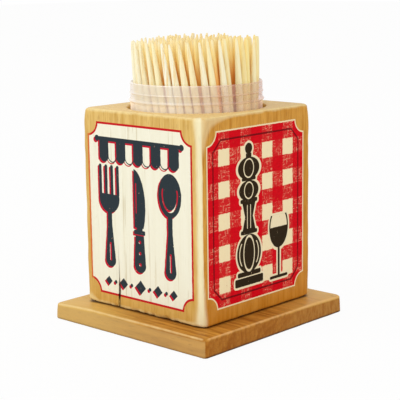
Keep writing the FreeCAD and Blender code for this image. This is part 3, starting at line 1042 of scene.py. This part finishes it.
plastic = Finish("ClearPlastic")
x, y, z = plastic.millimetres()
edge_on = plastic.node("LayerWeight", output="Facing", Blend=0.35)
swirl = plastic.noise((0.05, 0.05, 0.3), 2.0, 0.5)
rim_glow = plastic.step(z, jar_high[2] - 0.35, jar_high[2] - 0.1)
rings = plastic.fall(plastic.least(abs(z - BEAD), abs(z - RIDGE) * 1.6), 0.2, 0.65)
milky = plastic.step(edge_on, 0.4, 0.95)
outer = plastic.step(plastic.length(x, y), JAR_RADIUS - 0.45, JAR_RADIUS - 0.2)
# Painted light and shade: the jar is hazier and paler on its lit left side, browner on its shaded
# right.
lit_side = plastic.step(x * -RIGHTWARDS[0] - y * RIGHTWARDS[1], -17, 10)
haze = 0.3 + lit_side * 0.14 + milky * 0.5 + (swirl - 0.5) * 0.08 + rim_glow * 0.25 + rings * 0.15
# Painted glow: the wall gives off a little light below the bead, standing in for light led down
# inside the wall.
wall_glow = plastic.fall(z, BEAD - 0.6, BEAD + 0.2) * plastic.step(z, BEAD - 5, BEAD - 3) * outer
plastic.surface(
    Base_Color=plastic.mix(lit_side, (226, 178, 156), (255, 246, 236)),
    Roughness=0.09 + swirl * 0.08,
    IOR=1.49,
    Alpha=haze * (outer * 0.9 + 0.1),
    Emission_Color=plastic.mix(wall_glow, (0, 0, 0), (196, 178, 162)),
    Emission_Strength=0.5,
    Normal=plastic.bump(swirl, 0.05),
)
plastic.cover(jar)
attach(jar, "jar")
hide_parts("jar")


# Toothpicks.
# Round birch picks turned to a taper at both ends, raw and pale, standing loose in the jar. Each
# keeps the axis of its CAD solid. Most ride together, and six can be drawn out on their own.

PICK_THICKNESS = 2.1
PICK_TAPER = 13.0
PICK_POINT = 0.24  # radius at its tips
PICK_STATIONS = (0.15, 0.9, 2.6, 6, 13)  # from either point
PICK_SIDES = 10
PICK_VARIATION = 0.05  # in thickness
PICKS_RADIUS = 18.0  # of all of them together
BROKEN_OFF = 0.3  # at the points on top
BROKEN_SIDES = 0.5  # more at both sides of the jar
BROKEN_LEFT = 0.19  # more at its left
BROKEN_CHANCE = 0.2
TONE_SPREAD = 0.4
PICK_SEED = 7
BUNDLE_SEED = 10


def pick_axes(node_name):
    """The ends of each pick's axis in a CAD node, lower end first."""
    shape = bmesh.new()
    shape.from_mesh(frame["nodes"][node_name].data)
    bmesh.ops.remove_doubles(shape, verts=shape.verts, dist=0.01 * MM)
    axes = []
    left = set(shape.verts)
    while left:
        island = {left.pop()}
        edge = list(island)
        while edge:
            vert = edge.pop()
            for link in vert.link_edges:
                other = link.other_vert(vert)
                if other not in island:
                    island.add(other)
                    edge.append(other)
        left -= island
        heights = sorted(island, key=lambda vert: vert.co.z)
        axes.append((heights[0].co.copy(), heights[-1].co.copy()))
    shape.free()
    return sorted(axes, key=lambda axis: tuple(axis[0]))


birch = Finish("PickWood")
x, y, z = birch.millimetres()
tone, along, inner = (
    birch.node("Attribute", {"attribute_name": name}, output="Fac")
    for name in ("tone", "along", "inner")
)
vein = birch.noise((1.7, 1.7, 0.05), 2.0, 0.55)
grit = birch.noise((5.0, 5.0, 0.5), 2.0, 0.6, 9.0)
# Painted shade: the inner picks are coloured warm and deep, as is the light that reaches them
# between the outer picks.
deep_shade = birch.mix(birch.step(z, 70, 79), (250, 174, 74), (255, 233, 158))
# Painted glow: the inner picks give off a little warm light, standing in for light let through
# the thin birch.
glow = inner * birch.step(z, 60, 72) * birch.fall(z, 76, 86)
birch.surface(
    Base_Color=birch.coats(
        birch.mix(tone, (255, 255, 238), (255, 238, 166)),
        (birch.step(vein + (grit - 0.5) * 0.5, 0.45, 0.8), (248, 220, 154)),
        (inner * birch.fall(z, 78, 87) * 0.9, deep_shade),
        (birch.fall(along, 0.0, 0.05) * 0.12, (236, 196, 120)),
    ),
    Roughness=grit * 0.2 + 0.5,
    Specular_IOR_Level=0.3,
    Emission_Color=birch.mix(glow, (0, 0, 0), (255, 158, 16)),
    Emission_Strength=0.045,
    Normal=birch.bump(grit * 0.6 + vein * 0.4, 0.06),
)

pick_steps = Steps(
    "Toothpicks",
    Geometry=("Geometry", None),
    Thickness=("Float", PICK_THICKNESS * MM),
    Taper=("Float", PICK_TAPER * MM),
    Point=("Float", PICK_POINT * MM),
    Sides=("Int", PICK_SIDES),
    Variation=("Float", PICK_VARIATION),
)
given = pick_steps.given
so_far = pick_steps.node("GeometryNodeSplineParameter", output="Length")
length = pick_steps.node("GeometryNodeSplineLength", output="Length")
share = pick_steps.least(pick_steps.least(so_far, length - so_far) / given["Taper"], 1.0)
fullness = pick_steps.math("POWER", share, 0.6)
tone_of = pick_steps.node("GeometryNodeInputNamedAttribute", {"data_type": "FLOAT"}, Name="tone")
radius = (given["Thickness"] * 0.5 - given["Point"]) * fullness + given["Point"]
lines = pick_steps.node("GeometryNodeMeshToCurve", Mesh=given["Geometry"])
lines = pick_steps.node(
    "GeometryNodeStoreNamedAttribute",
    {"data_type": "FLOAT", "domain": "POINT"},
    Geometry=lines,
    Name="along",
    Value=share,
)
lines = pick_steps.node(
    "GeometryNodeSetCurveRadius", Curve=lines, Radius=radius * (1 - tone_of * given["Variation"])
)
turned_picks = pick_steps.node(
    "GeometryNodeCurveToMesh",
    Curve=lines,
    Profile_Curve=pick_steps.node(
        "GeometryNodeCurvePrimitiveCircle", Resolution=given["Sides"], Radius=1.0
    ),
    Scale=pick_steps.node("GeometryNodeInputRadius"),
    Fill_Caps=True,
)
pick_steps.end(turned_picks, birch.material)


def pick_lines(name, axes, seed):
    """Lines along the picks' axes with points where a pick's thickness changes."""
    points, edges, tones, inners = [], [], [], []
    dice = np.random.default_rng(seed)
    for low_end, high_end, is_inner in axes:
        sideways = high_end.x * RIGHTWARDS[0] + high_end.y * RIGHTWARDS[1]
        sideways /= PICKS_RADIUS * MM
        broken = BROKEN_OFF + BROKEN_SIDES * sideways**2 - BROKEN_LEFT * sideways
        broken = (broken + dice.uniform(-BROKEN_CHANCE, BROKEN_CHANCE)) * MM
        length = (high_end - low_end).length
        high_end = high_end.lerp(low_end, broken / length)
        length -= broken
        # Picks further right are painted yellower and those at left paler, as painted light from
        # the left; the rest of their tone is random.
        pick_tone = 0.5 + TONE_SPREAD * sideways + dice.uniform(-TONE_SPREAD, TONE_SPREAD)
        pick_tone = min(max(pick_tone, 0.0), 1.0)
        ends = [from_point * MM for from_point in PICK_STATIONS]
        for step, distance in enumerate(ends + [length - end for end in reversed(ends)]):
            if step:
                edges.append((len(points) - 1, len(points)))
            points.append(low_end.lerp(high_end, distance / length))
            tones.append(pick_tone)
            inners.append(is_inner)
    mesh = bpy.data.meshes.new(name)
    mesh.from_pydata(points, edges, [])
    for attribute_name, values in (("tone", tones), ("inner", inners)):
        attribute = mesh.attributes.new(attribute_name, "FLOAT", "POINT")
        attribute.data.foreach_set("value", values)
    return mesh


for body_name, members in frame["record"]["behaviour"]["bodies"].items():
    picks = sorted(member for member in members if member.startswith("toothpick"))
    if not picks:
        continue
    axes = [(*axis, float("inner" in member)) for member in picks for axis in pick_axes(member)]
    made_name, seed = "PickBundle", BUNDLE_SEED
    if body_name != "pick_bundle":
        made_name, seed = "Pick_" + body_name[-2:], PICK_SEED + int(body_name[-2:])
    made = pick_steps.run(made_name, pick_lines(made_name, axes, seed))
    made.data.shade_smooth()
    sharpen(made, 50)
    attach(made, body_name)
    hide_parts(*picks)


# Table, light and camera.
# A plain white table under a soft pale sky, with a broad lamp at the front left and a weaker one
# at the right.

TABLE_HALF = 3  # metres
LAMP_SIZE = 0.5  # metres
LAMP_COLOUR = (1.0, 0.985, 0.96)
TABLE_SHINE = 0.95  # how much of its own white it shows
SKY_LEVEL = 0.735


def seen(finish):
    """1 to the camera, by gloss and through clear things too, and 0 to all other light."""
    rays = ("Is Camera Ray", "Is Glossy Ray", "Is Transmission Ray")
    return finish.most(*(finish.node("LightPath", output=ray) for ray in rays))


table_mesh = bpy.data.meshes.new("Table")
table_corners = [(*corner, 0) for corner in square * TABLE_HALF]
table_mesh.from_pydata(table_corners, [], [(0, 1, 2, 3)])
table = added("Table", table_mesh)
table_top = Finish("Table")
plain = table_top.node("BsdfDiffuse", Color=colour(236, 234, 230))
white = table_top.node("Emission", Color=(1, 1, 1, 1), Strength=1.0)
shown = table_top.node(
    "MixShader", inputs={0: seen(table_top) * TABLE_SHINE, 1: plain, 2: white}
)
table_top.node("OutputMaterial", Surface=shown)
table_top.cover(table)

sky = Finish("Sky", bpy.data.worlds)
strength = sky.node("MapRange", Value=seen(sky), To_Min=SKY_LEVEL, To_Max=1.0)
background = sky.node("Background", Color=(1, 1, 1, 1), Strength=strength)
sky.node("OutputWorld", Surface=background)
bpy.context.scene.world = sky.material


def lamp(name, place, target, power):
    """A square lamp that faces the target."""
    light = bpy.data.lights.new(name, "AREA")
    light.size = LAMP_SIZE
    light.energy = power
    light.color = LAMP_COLOUR
    holder = added(name, light)
    holder.location = place
    facing = Vector(target) - Vector(place)
    holder.rotation_euler = facing.to_track_quat("-Z", "Y").to_euler()


lamp("KeyLamp", (-0.35, -0.75, 0.75), (0, 0, 0.035), 3.7)
lamp("FillLamp", (0.85, -0.1, 0.45), (0, 0, 0.04), 1.35)

CAMERA_PLACE = Vector((239.975, -257.281, 102.115)) * MM
CAMERA_TARGET = Vector((0.469, 0.458, 35.314)) * MM
CAMERA_ROLL = -0.01295
IMAGE_WIDTH = 400  # pixels
SENSOR_WIDTH = 36  # millimetres
CAMERA_FOCAL = 1205.74  # pixels
view = (CAMERA_TARGET - CAMERA_PLACE).normalized()
sideways = view.cross(Vector((0, 0, 1))).normalized()
upward = sideways.cross(view)
camera_x = sideways * math.cos(CAMERA_ROLL) + upward * math.sin(CAMERA_ROLL)
camera_y = upward * math.cos(CAMERA_ROLL) - sideways * math.sin(CAMERA_ROLL)
camera_data = bpy.data.cameras.new("Camera")
camera_data.sensor_width = SENSOR_WIDTH
camera_data.lens = CAMERA_FOCAL / IMAGE_WIDTH * SENSOR_WIDTH
camera_data.clip_start = 0.01
camera = added("Camera", camera_data)
camera.matrix_world = Matrix.Translation(CAMERA_PLACE) @ Matrix(
    (camera_x, camera_y, -view)
).transposed().to_4x4()
bpy.context.scene.camera = camera
bpy.context.scene.view_settings.view_transform = "Standard"
